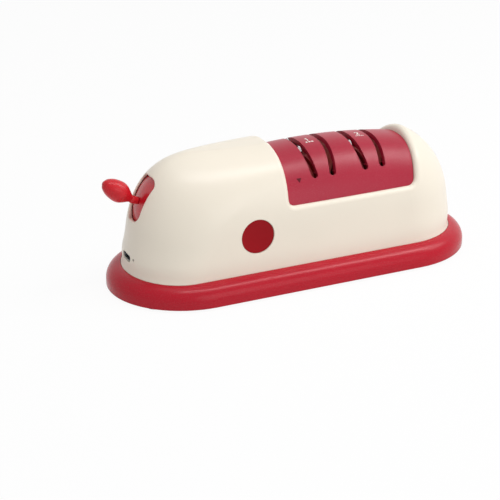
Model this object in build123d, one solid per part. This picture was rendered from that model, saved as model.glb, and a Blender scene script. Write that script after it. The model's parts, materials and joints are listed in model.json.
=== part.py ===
from build123d import *
import math
import os

# Cordless electric knife sharpener: a moulded housing on a red oval base, an arched cover with
# two pairs of blade slots over a pair of grinding stages, and an egg-shaped lever at the -X end.
# Frame: +X towards the plain end, +Z up, origin at the centre of the base on the table.
# Every length is in millimetres and every angle in degrees.

# ---- base tray ----
BASE_LENGTH = 187.5
BASE_WIDTH = 73.0
BASE_END = 39.5            # half-axis along X of each elliptical end
BASE_LIFT = 0.8            # the feet hold the tray this far above the table
BASE_FLOOR = 2.2
BASE_WALL = 2.2
BASE_ROUND = 7.3           # round of the rim towards the housing
BASE_EDGE = 0.6            # small round of the rim's foot
FLOOR_TOP = BASE_LIFT + BASE_FLOOR

# ---- housing ----
JOIN_HEIGHT = 11.1         # the housing rises out of the base rim here
RIM_END = 7.55             # the base reaches this far beyond the housing at each end
RIM_SIDE = 8.0             # and this far at each side
HOUSING_REACH = BASE_LENGTH / 2 - RIM_END
HOUSING_HALF = BASE_WIDTH / 2 - RIM_SIDE  # half-width where the sides stand upright
RIDGE_HEIGHT = 65.5
SHOULDER_HEIGHT = 27.7     # the sides start to close over the top here
ARCH_POWER = 2.55          # exponent of the superelliptic cross-section
SIDE_DRAFT = 0.025
WALL = 2.3
CAP_HALF = 4.2             # half-width of the last section under the ridge
LEVER_DOME = {"start": 10.3, "depth": 40.2, "power": 2.9, "plan": 26.3, "plan_top": 70.8,
              "draft": 0.12, "meet": 8.0}
PLAIN_DOME = {"start": 20.3, "depth": 42.4, "power": 2.16, "plan": 31.5, "plan_top": 33.2,
              "draft": 0.088, "meet": -9.0}
RIM_FIT = 0.15             # gap between the base rim and the housing

# ---- opening for the slotted cover ----
SILL_HEIGHT = 40.3
OPEN_LEFT = -13.4
OPEN_RIGHT = 54.2          # at the sill; the right edge leans outwards
OPEN_LEAN = 0.22
OPEN_CORNER_LEFT = 3.0
OPEN_CORNER_RIGHT = 4.0
OPEN_EDGE_ROUND = 2.2      # round of the housing's edge around the opening
FRAME_DEPTH = 2.4          # moulded frame around the opening
LIP_WIDTH = 1.6            # lip of the frame behind the cover's edge
LIP_THICK = 1.8

# ---- slotted cover ----
COVER_HALF = HOUSING_HALF - 0.3
COVER_BASE_Z = 21.0        # centre height of the cover's superelliptic arch
COVER_POWER = 2.25
COVER_TOP = 62.5
COVER_TOP_X = 11.4         # the crown's highest point
COVER_CROWN = 284.0        # radius of the crown along X
COVER_WALL = 2.2
COVER_FIT = 0.25
CLIP_WIDTH = 8.0
CLIP_THICK = 1.4
CLIP_BOTTOM = 34.0
CLIP_XS = (-5.0, 46.5)

# ---- blade slots ----
STAGE_XS = (7.45, 34.6)    # centre of the coarse and of the fine stage
SLOT_WIDTH = 3.4
SLOT_PITCH = 9.6           # between the two slots of a stage, at the slot ends
SLOT_LEANS = {-1: 0.09, 1: 0.22}  # each slot leans outwards going up, the right one more
SLOT_END_Z = 51.8          # centre of the slots' rounded ends
LEAF_THICK = 0.5           # steel leaves that press the blade against the wheel
LEAF_GAP = 0.15            # between the slot's wall and its leaf
LEAF_HALF = 15.0
LEAF_BOTTOM = 46.0
TIP_Y = 7.6                # pale tips on the outer leaf of each stage, either side of the crown
TIP_THICK = 1.2
TIP_SINK = 0.1             # apex below the cover's surface
TIP_RISE = 2.6
TIP_ROOT = 2.4

# ---- grinding drive ----
AXIS_Z = 37.0
SHAFT_R = 2.5
RUN_FIT = 0.05             # radial running clearance
SEAT_FIT = 0.02            # radial clearance of parts that turn together
WHEEL_R = 16.0
WHEEL_THICK = 4.0
WHEEL_BEVEL = 1.2          # how far the cone falls back at the rim
WHEEL_FLAT_R = 8.0
WHEEL_GAP = 1.7            # between the two wheels of a stage
BEARING_R = 5.5
BEARING_LENGTH = 4.0
BEARING_XS = (-2.3, 43.0)  # left face of each bearing
SHAFT_LEFT = -9.3
SHAFT_RIGHT = 48.6
COUPLING_LEFT = -14.5
COUPLING_RIGHT = -3.0
COUPLING_R = 4.2
CLIP_RING_R = 4.2
CLIP_RING_THICK = 0.6
SPACER_R = 4.2
SPACER_PLAY = 0.2

# ---- motor ----
MOTOR_LEFT = 38.7 - HOUSING_REACH
MOTOR_RIGHT = -17.5
MOTOR_R = 12.2
MOTOR_NECK_R = 3.2
MOTOR_NECK = 1.6
END_CAP_THICK = 2.0
MOTOR_SHAFT_R = 1.15
MOTOR_SHAFT_LEFT = MOTOR_LEFT + 1.0
DAMPER_THICK = 1.0
DAMPER_LENGTH = 5.0
DAMPER_XS = (MOTOR_LEFT + 2.5, MOTOR_RIGHT - 7.5)  # left face of each damper
STRAP_THICK = 1.0
STRAP_SCREW_Y = 16.3
TAB_LENGTH = 2.4
TAB_HALF = 1.2
TAB_THICK = 0.5
TAB_OFFSET = 8.0

# ---- chassis ----
PLATE_BOTTOM = 22.9
PLATE_TOP = 24.7
PLATE_LEFT = 24.2 - HOUSING_REACH
PLATE_RIGHT = 50.5
PLATE_HALF = 19.5
PLATE_CORNER = 4.0
WINDOW_LEFT = 1.9
WINDOW_RIGHT = 42.6
WINDOW_HALF = 12.6
LEG_R = 3.6
LEG_LEFT = PLATE_LEFT + 18.0
LEG_RIGHT = PLATE_RIGHT - 4.5
LEG_Y = 15.5
LEG_SPOTS = ((LEG_LEFT, LEG_Y), (LEG_LEFT, -LEG_Y), (LEG_RIGHT, LEG_Y), (LEG_RIGHT, -LEG_Y))
CRADLE_TOP = 33.0
CRADLE_HALF = 18.6
PEDESTAL_HALF = 10.4
CAP_FLANGE = 3.0
CAP_ARC_R = 7.0
CAP_SCREW_Y = 8.4
BRACKET_THICK = 1.5
BRACKET_HALF = 15.0
BRACKET_SCREW_Y = 12.0
BRACKET_BOSS_R = 2.4

# ---- lever ----
PIVOT_X = 30.4 - HOUSING_REACH
PIVOT_Z = 36.1
SHIELD_R = 24.6            # outer radius of the barrel-shaped shield about the pivot, in its middle
SHIELD_EDGE_R = 22.4       # and along its two edges
SHIELD_THICK = 1.4
SHIELD_FIT = 0.3
SHIELD_LAP = 0.8           # the shield is this much wider than the slot each side
LEVER_SLOT_LOW = -0.6      # ends of the lever slot, seen from the pivot
LEVER_SLOT_HIGH = 49.4
LEVER_SLOT_R = 26.8        # radius of the slot's ends from the pivot
LEVER_SLOT_HALVES = (6.1, 7.6)    # half-width of the slot at its lower and upper end
LEVER_SLOT_CORNERS = (5.4, 4.6)
LEVER_SLOT_ROUND = 0.5     # round of the slot's outer edge
LEVER_TRAVEL = 15.0        # each way from rest
SHIELD_MARGIN = 2.0
STEM_TILT = 21.1
STEM_R = 1.75
STEM_OUT = 27.4            # where the stem meets the knob, from the pivot
STEM_BEAD_R = 1.95         # bead where the stem turns into the egg
SPIGOT_WALL = 0.75
SPIGOT_LENGTH = 2.2
KNOB_TILT = 36.5
KNOB_LENGTH = 17.2
KNOB_R = 5.0
KNOB_NECK = 0.47           # the widest place, as a share of the knob's length
KNOB_ROOT_R = 1.4
KNOB_SWELL = 0.75          # exponent of the swelling from the root to the widest place
HUB_R = 4.2
HUB_HALF = 5.0
ARM_HALF = 3.0
ARM_THICK = 3.2
PIN_R = 1.5
EAR_GAP = 0.3
EAR_THICK = 2.0
EAR_R = 4.4
SWITCH_SIZE = 9.6
SWITCH_THICK = 4.5

# ---- eye discs ----
EYE_X = -30.4
EYE_Z = 29.0
EYE_R = 8.2
EYE_FIT = 0.15
EYE_THICK = 1.3
EYE_SINK = 0.35            # the disc lies this far below the housing's side
EYE_DISH = 0.5             # depth of the shallow bowl in its face
EYE_DISH_R = 7.7
EYE_PEG_R = 2.4
EYE_PEG_LENGTH = 3.4
EYE_PAD = 1.4

# ---- charging port ----
PORT_Z = 18.0
PORT_WIDTH = 8.94
PORT_HEIGHT = 3.2
PORT_SHELL = 0.3
PORT_LENGTH = 7.3
PORT_FRONT = 1.5 - HOUSING_REACH
PORT_FIT = 0.25
PORT_TONGUE = (6.4, 0.7)
BOARD_THICK = 1.6
BOARD_LEFT = PORT_FRONT + 2.1
BOARD_RIGHT = PORT_FRONT + 12.9
BOARD_HALF = 12.0
BOARD_POST_R = 2.6
BOARD_POSTS = ((BOARD_RIGHT - 3.2, 9.0), (BOARD_RIGHT - 3.2, -9.0))
LAMP_Y = -7.2
LAMP_Z = PORT_Z + 0.5
LAMP_R = 0.55
LAMP_FRONT = PORT_FRONT + 0.4
LAMP_BACK = PORT_FRONT + 5.3
LAMP_BLOCK = 2.4
LAMP_FLANGE_R = 1.3
LAMP_FLANGE_LEFT = PORT_FRONT + 2.9

# ---- battery ----
CELL_R = 9.2
CELL_LENGTH = 65.0
CELL_LEFT = BOARD_RIGHT + 3.5
CELL_LIFT = 0.7            # between the tray floor and the cell
HOLDER_WALL = 1.2
HOLDER_END = 1.6
CONTACT_THICK = 0.4
HOLDER_SCREW_X = CELL_LEFT + CELL_LENGTH / 2 - 0.2
HOLDER_SCREW_Y = 14.0
HOLDER_EAR = 2.0
HOLDER_EAR_BOTTOM = 8.0
CELL_NUB = 1.0
CELL_NUB_R = 2.9

# ---- dust tray ----
TRAY_GAP = 0.7             # between the battery holder and the tray
TRAY_LEFT = CELL_LEFT + CELL_LENGTH + CONTACT_THICK + HOLDER_END + TRAY_GAP
TRAY_RIGHT = 41.5
TRAY_HALF = 12.4
TRAY_TOP = 19.4
TRAY_WALL = 1.4
TRAY_DRAFT = 2.0
MAGNET = (24.0, 12.0, 2.0)

# ---- screws and feet ----
CASE_SCREW_X = HOUSING_REACH - 24.2
CASE_SCREW_Y = HOUSING_HALF - 7.9
CASE_SCREW_SPOTS = ((-CASE_SCREW_X, CASE_SCREW_Y), (-CASE_SCREW_X, -CASE_SCREW_Y),
                    (CASE_SCREW_X, CASE_SCREW_Y), (CASE_SCREW_X, -CASE_SCREW_Y))
BOSS_R = 3.6
BOSS_TOP = 21.0
BOSS_RIB = 2.0             # thickness of the rib that ties a boss to the wall
SEAT_HEIGHT = 5.0          # top of the tray's screw seats
SEAT_R = 4.2
SCREW_R = 1.45
SCREW_HEAD_R = 2.8
SCREW_HEAD = 1.7
SCREW_LENGTH = 13.0
SCREW_FIT = 0.2
SCREW_CROSS = (3.2, 0.7, 1.0)     # length, width and depth of the cross in a head
SMALL_SCREW_R = 1.0
SMALL_HEAD_R = 1.8
SMALL_HEAD = 1.2
SMALL_LENGTH = 7.0
FOOT_R = 6.5
FOOT_DEPTH = 1.2           # pocket in the tray's underside
FOOT_X = BASE_LENGTH / 2 - 15.75
FOOT_Y = BASE_WIDTH / 2 - 17.5
FOOT_SPOTS = ((-FOOT_X, FOOT_Y), (-FOOT_X, -FOOT_Y), (FOOT_X, FOOT_Y), (FOOT_X, -FOOT_Y))
FOOT_CHAMFER = 0.4

# ---- sizes that follow from the ones above ----
SHIELD_HALF = LEVER_SLOT_HALVES[1] + SHIELD_LAP
EYE_FLOOR = HOUSING_HALF - EYE_SINK - EYE_THICK
BOARD_TOP = PORT_Z - PORT_HEIGHT / 2
BOARD_BOTTOM = BOARD_TOP - BOARD_THICK
CELL_Z = FLOOR_TOP + CELL_LIFT + CELL_R
STRAP_R = MOTOR_R + DAMPER_THICK + SEAT_FIT
FAR = 200.0                # far beyond any piece, for cuts that run right through


# ---- helpers ----
def cylinder_z(x, y, radius, low, high):
    return Pos(x, y, (low + high) / 2) * Cylinder(radius, high - low)


def cylinder_x(radius, left, right, y=0.0, z=AXIS_Z):
    return Pos((left + right) / 2, y, z) * Rot(0, 90, 0) * Cylinder(radius, right - left)


def cylinder_y(x, z, radius, low, high):
    return Pos(x, (low + high) / 2, z) * Rot(90, 0, 0) * Cylinder(radius, high - low)


def box(x_low, x_high, y_low, y_high, z_low, z_high):
    centre = Pos((x_low + x_high) / 2, (y_low + y_high) / 2, (z_low + z_high) / 2)
    return centre * Box(x_high - x_low, y_high - y_low, z_high - z_low)


def polar(tilt, radius):
    """A point (x, z) seen from the lever's pivot, tilt degrees above the -X direction."""
    angle = math.radians(tilt)
    return PIVOT_X - radius * math.cos(angle), PIVOT_Z + radius * math.sin(angle)


def round_screw(x, y, seat, radius, head_r, head, length, up):
    """A screw with its head under (up) or over (not up) a seat at height seat."""
    if up:
        return cylinder_z(x, y, head_r, seat - head, seat) + cylinder_z(x, y, radius, seat, seat + length)
    return cylinder_z(x, y, head_r, seat, seat + head) + cylinder_z(x, y, radius, seat - length, seat)


def loop(left, right, left_end, right_end, half, z):
    """Closed outline at height z: two straight sides with a half-ellipse at each end."""
    left_centre, right_centre = left + left_end, right - right_end
    right_plane = Plane(origin=(right_centre, 0, z))
    left_plane = Plane(origin=(left_centre, 0, z))
    return Wire([
        Edge.make_line((left_centre, -half, z), (right_centre, -half, z)),
        Edge.make_ellipse(right_end, half, right_plane, 270, 360),
        Edge.make_ellipse(right_end, half, right_plane, 0, 90),
        Edge.make_line((right_centre, half, z), (left_centre, half, z)),
        Edge.make_ellipse(left_end, half, left_plane, 90, 180),
        Edge.make_ellipse(left_end, half, left_plane, 180, 270),
    ])


# ---- the housing's form ----
def arch_half(z, inset):
    """Half-width of the housing at height z, measured to a surface inset from the outside."""
    half = HOUSING_HALF - inset
    if z <= SHOULDER_HEIGHT:
        return half + SIDE_DRAFT * (SHOULDER_HEIGHT - z)
    share = (z - SHOULDER_HEIGHT) / (RIDGE_HEIGHT - inset - SHOULDER_HEIGHT)
    return half * (1 - share**ARCH_POWER) ** (1 / ARCH_POWER)


def dome_reach(dome, z, inset):
    """How far an end of the housing reaches at height z, and its half-axis in plan."""
    share = max(0.0, (z - dome["start"]) / (RIDGE_HEIGHT - inset - dome["start"]))
    fall = dome["depth"] * (1 - (1 - share ** dome["power"]) ** (1 / dome["power"]))
    draft = dome["draft"] * (max(JOIN_HEIGHT, min(z, SHOULDER_HEIGHT)) - JOIN_HEIGHT)
    reach = HOUSING_REACH - inset - fall - draft
    plan = dome["plan"] - inset + (dome["plan_top"] - dome["plan"]) * share**2
    return reach, min(plan, reach + dome["meet"])


def housing_loop(z, inset):
    left, left_end = dome_reach(LEVER_DOME, z, inset)
    right, right_end = dome_reach(PLAIN_DOME, z, inset)
    return loop(-left, right, left_end, right_end, arch_half(z, inset), z)


def housing_form(inset, skirt_bottom):
    """Solid form of the housing: a straight skirt under a loft that closes over the top."""
    half = HOUSING_HALF - inset
    top_share = (1 - (CAP_HALF / half) ** ARCH_POWER) ** (1 / ARCH_POWER)
    rise = RIDGE_HEIGHT - inset - SHOULDER_HEIGHT
    side_steps, top_steps = 3, 12
    last = math.asin(top_share)
    heights = [JOIN_HEIGHT + (SHOULDER_HEIGHT - JOIN_HEIGHT) * i / side_steps for i in range(side_steps)]
    heights += [SHOULDER_HEIGHT + rise * math.sin(last * i / top_steps) for i in range(top_steps + 1)]
    dome = Solid.make_loft([housing_loop(z, inset) for z in heights])
    skirt = Solid.extrude(Face(housing_loop(JOIN_HEIGHT, inset)), (0, 0, skirt_bottom - JOIN_HEIGHT))
    return dome + skirt


# ---- the cover's form and the opening's outline ----
def cover_ridge(x):
    """Height of the cover's crown, an arc along X."""
    return COVER_TOP - COVER_CROWN + math.sqrt(COVER_CROWN**2 - (x - COVER_TOP_X) ** 2)


def cover_half(x, z, inset):
    share = (z - COVER_BASE_Z) / (cover_ridge(x) - inset - COVER_BASE_Z)
    return (COVER_HALF - inset) * (1 - share**COVER_POWER) ** (1 / COVER_POWER)


def cover_form(inset, low=30.0):
    """Solid arch under the cover's surface, or under one inset from it."""
    sections = []
    steps = 16
    for x in (-20.0, -4.0, 12.0, 28.0, 44.0, 68.0):
        rise = cover_ridge(x) - inset - COVER_BASE_Z
        half = COVER_HALF - inset
        first = math.asin(((low - COVER_BASE_Z) / rise) ** (COVER_POWER / 2))
        points = []
        for i in range(steps + 1):
            angle = first + (math.pi - 2 * first) * i / steps
            across = math.cos(angle)
            y = math.copysign(half * abs(across) ** (2 / COVER_POWER), -across)
            points.append((x, y, COVER_BASE_Z + rise * math.sin(angle) ** (2 / COVER_POWER)))
        arch = Edge.make_spline([Vector(*p) for p in points])
        sections.append(Wire([arch, Edge.make_line(points[-1], points[0])]))
    return Solid.make_loft(sections)


def opening_prism(grow, sill_grow=None):
    """Prism through the housing with the opening's side outline, grown by a margin."""
    sill = SILL_HEIGHT - (grow if sill_grow is None else sill_grow)
    top = RIDGE_HEIGHT + 12.0

    def right_edge(z):
        return OPEN_RIGHT + OPEN_LEAN * (z - SILL_HEIGHT) + grow * math.hypot(1, OPEN_LEAN)

    left_edge = OPEN_LEFT - grow
    corners = [(left_edge, top), (left_edge, sill), (right_edge(sill), sill), (right_edge(top), top)]
    outline = FilletPolyline(
        corners[0], corners[1], corners[2], corners[3],
        radius=[OPEN_CORNER_LEFT + grow, OPEN_CORNER_RIGHT + grow],
    )
    outline += Line(corners[3], corners[0])
    side = Plane.XZ * make_face(outline)
    return Pos(0, FAR / 2, 0) * extrude(side, FAR)


# ---- base ----
def base_solid(inset, low, high, rounding):
    outline = loop(-BASE_LENGTH / 2 + inset, BASE_LENGTH / 2 - inset, BASE_END - inset,
                   BASE_END - inset, BASE_WIDTH / 2 - inset, low)
    solid = Solid.extrude(Face(outline), (0, 0, high - low))
    return solid.fillet(rounding, solid.faces().sort_by(Axis.Z)[-1].edges())


def make_base_tray():
    tray = base_solid(0.0, BASE_LIFT, JOIN_HEIGHT, BASE_ROUND)
    tray = tray.fillet(BASE_EDGE, tray.faces().sort_by(Axis.Z)[0].edges())
    tray -= base_solid(BASE_WALL, FLOOR_TOP, JOIN_HEIGHT - BASE_WALL, BASE_ROUND - BASE_WALL)
    mouth = Face(housing_loop(JOIN_HEIGHT, -RIM_FIT))
    mouth_low = FLOOR_TOP + BASE_WALL
    tray -= Pos(0, 0, mouth_low - JOIN_HEIGHT) * Solid.extrude(mouth, (0, 0, JOIN_HEIGHT))
    for x, y in CASE_SCREW_SPOTS + LEG_SPOTS:
        tray += cylinder_z(x, y, SEAT_R, BASE_LIFT, SEAT_HEIGHT)
        tray -= cylinder_z(x, y, SCREW_HEAD_R + SCREW_FIT, 0, FLOOR_TOP)
        tray -= cylinder_z(x, y, SCREW_R + SCREW_FIT, 0, SEAT_HEIGHT + 1)
    for x, y in BOARD_POSTS:
        tray += cylinder_z(x, y, BOARD_POST_R, BASE_LIFT, BOARD_BOTTOM)
        tray -= cylinder_z(x, y, SMALL_SCREW_R + SEAT_FIT, BOARD_BOTTOM - SMALL_LENGTH, BOARD_BOTTOM)
    for side in (-1, 1):
        spot = HOLDER_SCREW_X, side * HOLDER_SCREW_Y
        tray += cylinder_z(*spot, BOARD_POST_R, BASE_LIFT, HOLDER_EAR_BOTTOM)
        tray -= cylinder_z(*spot, SMALL_SCREW_R + SEAT_FIT, FLOOR_TOP, HOLDER_EAR_BOTTOM)
    for x, y in FOOT_SPOTS:
        tray -= cylinder_z(x, y, FOOT_R + RIM_FIT, 0, BASE_LIFT + FOOT_DEPTH)
    return tray


def make_rubber_feet():
    feet = []
    for x, y in FOOT_SPOTS:
        foot = cylinder_z(x, y, FOOT_R, 0, BASE_LIFT + FOOT_DEPTH)
        feet.append(chamfer(foot.edges().group_by(Axis.Z)[0], FOOT_CHAMFER))
    return feet


# ---- housing ----
def lever_slot(depth):
    """Prism of the lever slot's outline, wider at the top, square to the slot's chord."""
    ends = [polar(tilt, LEVER_SLOT_R) for tilt in (LEVER_SLOT_LOW, LEVER_SLOT_HIGH)]
    low, high = [Vector(x, 0, z) for x, z in ends]
    along = (high - low).normalized()
    plane = Plane(origin=low, x_dir=along, z_dir=Vector(0, 1, 0).cross(along) * -1)
    length = (high - low).length
    low_half, high_half = LEVER_SLOT_HALVES
    corners = [(0, -low_half), (length, -high_half), (length, high_half), (0, low_half)]
    outline = make_face(Polyline(*corners, close=True))
    low_corner, high_corner = LEVER_SLOT_CORNERS
    outline = fillet(outline.vertices().group_by(Axis.X)[0], low_corner)
    outline = fillet(outline.vertices().group_by(Axis.X)[-1], high_corner)
    return extrude(plane * outline, depth, both=True)


def port_prism(grow, left, right):
    face = Plane.YZ * SlotOverall(PORT_WIDTH + 2 * grow, PORT_HEIGHT + 2 * grow)
    return Pos(left, 0, PORT_Z) * extrude(face, right - left)


def rim_edges(solid, cutter):
    """Edges that a cutter leaves on a solid's skin, without the ones that run right through."""
    skin = cutter.shells()[0]

    def runs_through(edge):
        return edge.geom_type == GeomType.LINE and edge.length > BASE_WIDTH / 2

    return [e for e in solid.edges() if not runs_through(e) and skin.distance_to(Vertex(e @ 0.5)) < 0.001]


def make_housing():
    opening = opening_prism(0.0)
    body = (housing_form(0.0, FLOOR_TOP) - opening).solid()
    body = body.fillet(OPEN_EDGE_ROUND, rim_edges(body, opening))
    slot = lever_slot(LEVER_SLOT_R / 2)
    body = (body - slot).solid()
    pivot = Vertex(PIVOT_X, 0, PIVOT_Z)
    slot_rim = [e for e in rim_edges(body, slot) if pivot.distance_to(Vertex(e @ 0.5)) > SHIELD_R]
    body = body.fillet(LEVER_SLOT_ROUND, slot_rim)
    lip_face, lip_back = COVER_WALL + COVER_FIT, COVER_WALL + COVER_FIT + LIP_THICK
    hollow = housing_form(WALL, FLOOR_TOP - 1)
    hollow -= opening_prism(FRAME_DEPTH) - cover_form(lip_back)
    body -= hollow
    lip = (opening & cover_form(lip_face)) - cover_form(lip_back)
    body += lip
    body -= opening_prism(-LIP_WIDTH)
    for x, y in CASE_SCREW_SPOTS:
        ends = sorted((y, math.copysign(HOUSING_HALF - WALL / 2, y)))
        body += box(x - BOSS_RIB / 2, x + BOSS_RIB / 2, *ends, SEAT_HEIGHT, BOSS_TOP)
        body += cylinder_z(x, y, BOSS_R, SEAT_HEIGHT, BOSS_TOP)
        body -= cylinder_z(x, y, SCREW_R + SEAT_FIT, SEAT_HEIGHT, SEAT_HEIGHT + SCREW_LENGTH)
    for side in (-1, 1):
        pad = sorted((side * (EYE_FLOOR - EYE_PAD), side * (HOUSING_HALF - WALL / 2)))
        pocket = sorted((side * EYE_FLOOR, side * (HOUSING_HALF + 2)))
        through = sorted((side * (EYE_FLOOR - EYE_PAD - 1), side * EYE_FLOOR))
        body += cylinder_y(EYE_X, EYE_Z, EYE_R + EYE_PAD, *pad)
        body -= cylinder_y(EYE_X, EYE_Z, EYE_R + EYE_FIT, *pocket)
        body -= cylinder_y(EYE_X, EYE_Z, EYE_PEG_R + EYE_FIT, *through)
    body -= shield_barrel(SHIELD_FIT, None, 0, 360)
    body -= port_prism(PORT_FIT, -HOUSING_REACH - 2, PORT_FRONT + PORT_LENGTH)
    body -= cylinder_x(LAMP_R + EYE_FIT / 2, -HOUSING_REACH, LAMP_BACK, LAMP_Y, LAMP_Z)
    return body


def make_eye_disc(side):
    face = EYE_FLOOR + EYE_THICK
    disc = cylinder_y(EYE_X, EYE_Z, EYE_R, *sorted((side * EYE_FLOOR, side * face)))
    peg_end = EYE_FLOOR - EYE_PEG_LENGTH
    disc += cylinder_y(EYE_X, EYE_Z, EYE_PEG_R, *sorted((side * peg_end, side * EYE_FLOOR)))
    bowl_r = (EYE_DISH_R**2 + EYE_DISH**2) / (2 * EYE_DISH)
    return disc - Pos(EYE_X, side * (face - EYE_DISH + bowl_r), EYE_Z) * Sphere(bowl_r)


# ---- cover and what it carries ----
def slot_plane(stage_x, side):
    """Plane of one blade slot: z along the slot's lean, x across it, y along the blade."""
    lean = math.atan(SLOT_LEANS[side]) * side
    origin = (stage_x + side * SLOT_PITCH / 2, 0, SLOT_END_Z)
    return Plane(origin=origin, x_dir=(math.cos(lean), 0, -math.sin(lean)),
                 z_dir=(math.sin(lean), 0, math.cos(lean)))


def slot_cut(stage_x, side):
    plane = slot_plane(stage_x, side)
    end_x = stage_x + side * SLOT_PITCH / 2
    end_y = cover_half(end_x, SLOT_END_Z, 0.0)
    slope = cover_half(end_x, SLOT_END_Z + 0.5, 0.0) - cover_half(end_x, SLOT_END_Z - 0.5, 0.0)
    reach = COVER_TOP - SLOT_END_Z + 5
    cut = plane * Pos(0, 0, reach / 2) * Box(SLOT_WIDTH, 2 * end_y, reach)
    for way in (-1, 1):
        end = Plane(origin=(0, way * end_y, 0), z_dir=(0, way, -slope))
        cut += plane * end.location * Cylinder(SLOT_WIDTH / 2, 4 * COVER_WALL)
    return cut


def make_slot_cover():
    cover = (cover_form(0.0) - cover_form(COVER_WALL)) & opening_prism(-COVER_FIT, 0.0)
    for stage_x in STAGE_XS:
        for side in (-1, 1):
            cover -= slot_cut(stage_x, side)
    lip_top = SILL_HEIGHT + LIP_WIDTH
    lip_back = COVER_WALL + COVER_FIT + LIP_THICK
    clip_y = min(cover_half(x + CLIP_WIDTH / 2, lip_top, lip_back) for x in CLIP_XS) - COVER_FIT
    under_skin = cover_form(COVER_WALL / 2)
    for x in CLIP_XS:
        for side in (-1, 1):
            ends = sorted((side * clip_y, side * (clip_y - CLIP_THICK)))
            clip = box(x - CLIP_WIDTH / 2, x + CLIP_WIDTH / 2, *ends, CLIP_BOTTOM, SLOT_END_Z)
            cover += clip & under_skin
    return cover


def leaf_face_x(side):
    """Local x of the face of a leaf that looks into its slot."""
    return side * (SLOT_WIDTH / 2 + LEAF_GAP)


def make_blade_leaves(stage_x):
    leaves = []
    under_cover = cover_form(COVER_WALL + LEAF_GAP)
    for side in (-1, 1):
        height = COVER_TOP - LEAF_BOTTOM
        middle = leaf_face_x(side) + side * LEAF_THICK / 2
        low = LEAF_BOTTOM - SLOT_END_Z
        leaf = Pos(middle, 0, low + height / 2) * Box(LEAF_THICK, 2 * LEAF_HALF, height)
        leaves.append((slot_plane(stage_x, side) * leaf) & under_cover)
    return leaves


def make_guide_tips(stage_x):
    """Pale pointed tips on a stage's outer leaf, each with its point in the middle of the slot."""
    surface = cover_ridge(stage_x) - COVER_BASE_Z
    share = 1 - (TIP_Y / COVER_HALF) ** COVER_POWER
    apex = COVER_BASE_Z + surface * share ** (1 / COVER_POWER) - TIP_SINK - SLOT_END_Z
    foot = apex - TIP_RISE
    root = foot - TIP_ROOT
    leaf, wall = leaf_face_x(-1), LEAF_GAP - SLOT_WIDTH / 2
    outline = make_face(Polyline((leaf, root), (0, root), (0, apex), (wall, foot), (leaf, foot), close=True))
    tips = []
    for side in (-1, 1):
        tip = Pos(0, side * TIP_Y + TIP_THICK / 2, 0) * extrude(Plane.XZ * outline, TIP_THICK)
        tips.append(slot_plane(stage_x, -1) * tip)
    return tips


# ---- lever ----
def rod_plane(tilt, radius):
    x, z = polar(tilt, radius)
    angle = math.radians(tilt)
    return Plane(origin=(x, 0, z), z_dir=(-math.cos(angle), 0, math.sin(angle)))


def shield_barrel(grow, thick, low, high):
    """Barrel about the pivot's axis: a curved plate between two tilts, or solid if thick is None."""
    half = SHIELD_HALF + grow
    middle, edge = SHIELD_R + grow, SHIELD_EDGE_R + grow
    inner_middle, inner_edge = (0, 0) if thick is None else (middle - thick, edge - thick)
    inner = [(inner_edge, half), (inner_middle, 0), (inner_edge, -half)]
    outline = ThreePointArc((edge, -half), (middle, 0), (edge, half)) + Line((edge, half), inner[0])
    outline += Line(inner[0], inner[2]) if thick is None else ThreePointArc(*inner)
    outline += Line(inner[2], (edge, -half))
    angle = math.radians(low)
    radial = Vector(-math.cos(angle), 0, math.sin(angle))
    pivot = Vector(PIVOT_X, 0, PIVOT_Z)
    plane = Plane(origin=pivot, x_dir=radial, z_dir=radial.cross(Vector(0, 1, 0)))
    return revolve(plane * make_face(outline), Axis(pivot, (0, 1, 0)), high - low)


def make_lever_shield():
    low = LEVER_SLOT_LOW - LEVER_TRAVEL - SHIELD_MARGIN
    high = LEVER_SLOT_HIGH + LEVER_TRAVEL + SHIELD_MARGIN
    lever = shield_barrel(0.0, SHIELD_THICK, low, high)
    reach = SHIELD_R - SHIELD_THICK / 2
    arm = rod_plane(STEM_TILT, reach / 2) * Box(ARM_THICK, 2 * ARM_HALF, reach)
    lever += arm
    lever += cylinder_y(PIVOT_X, PIVOT_Z, HUB_R, -HUB_HALF, HUB_HALF)
    lever += rod_plane(STEM_TILT, SHIELD_R) * Cylinder(STEM_R - SPIGOT_WALL, 2 * SPIGOT_LENGTH)
    lever -= cylinder_y(PIVOT_X, PIVOT_Z, PIN_R + SEAT_FIT, -HUB_HALF, HUB_HALF)
    return lever


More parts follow.
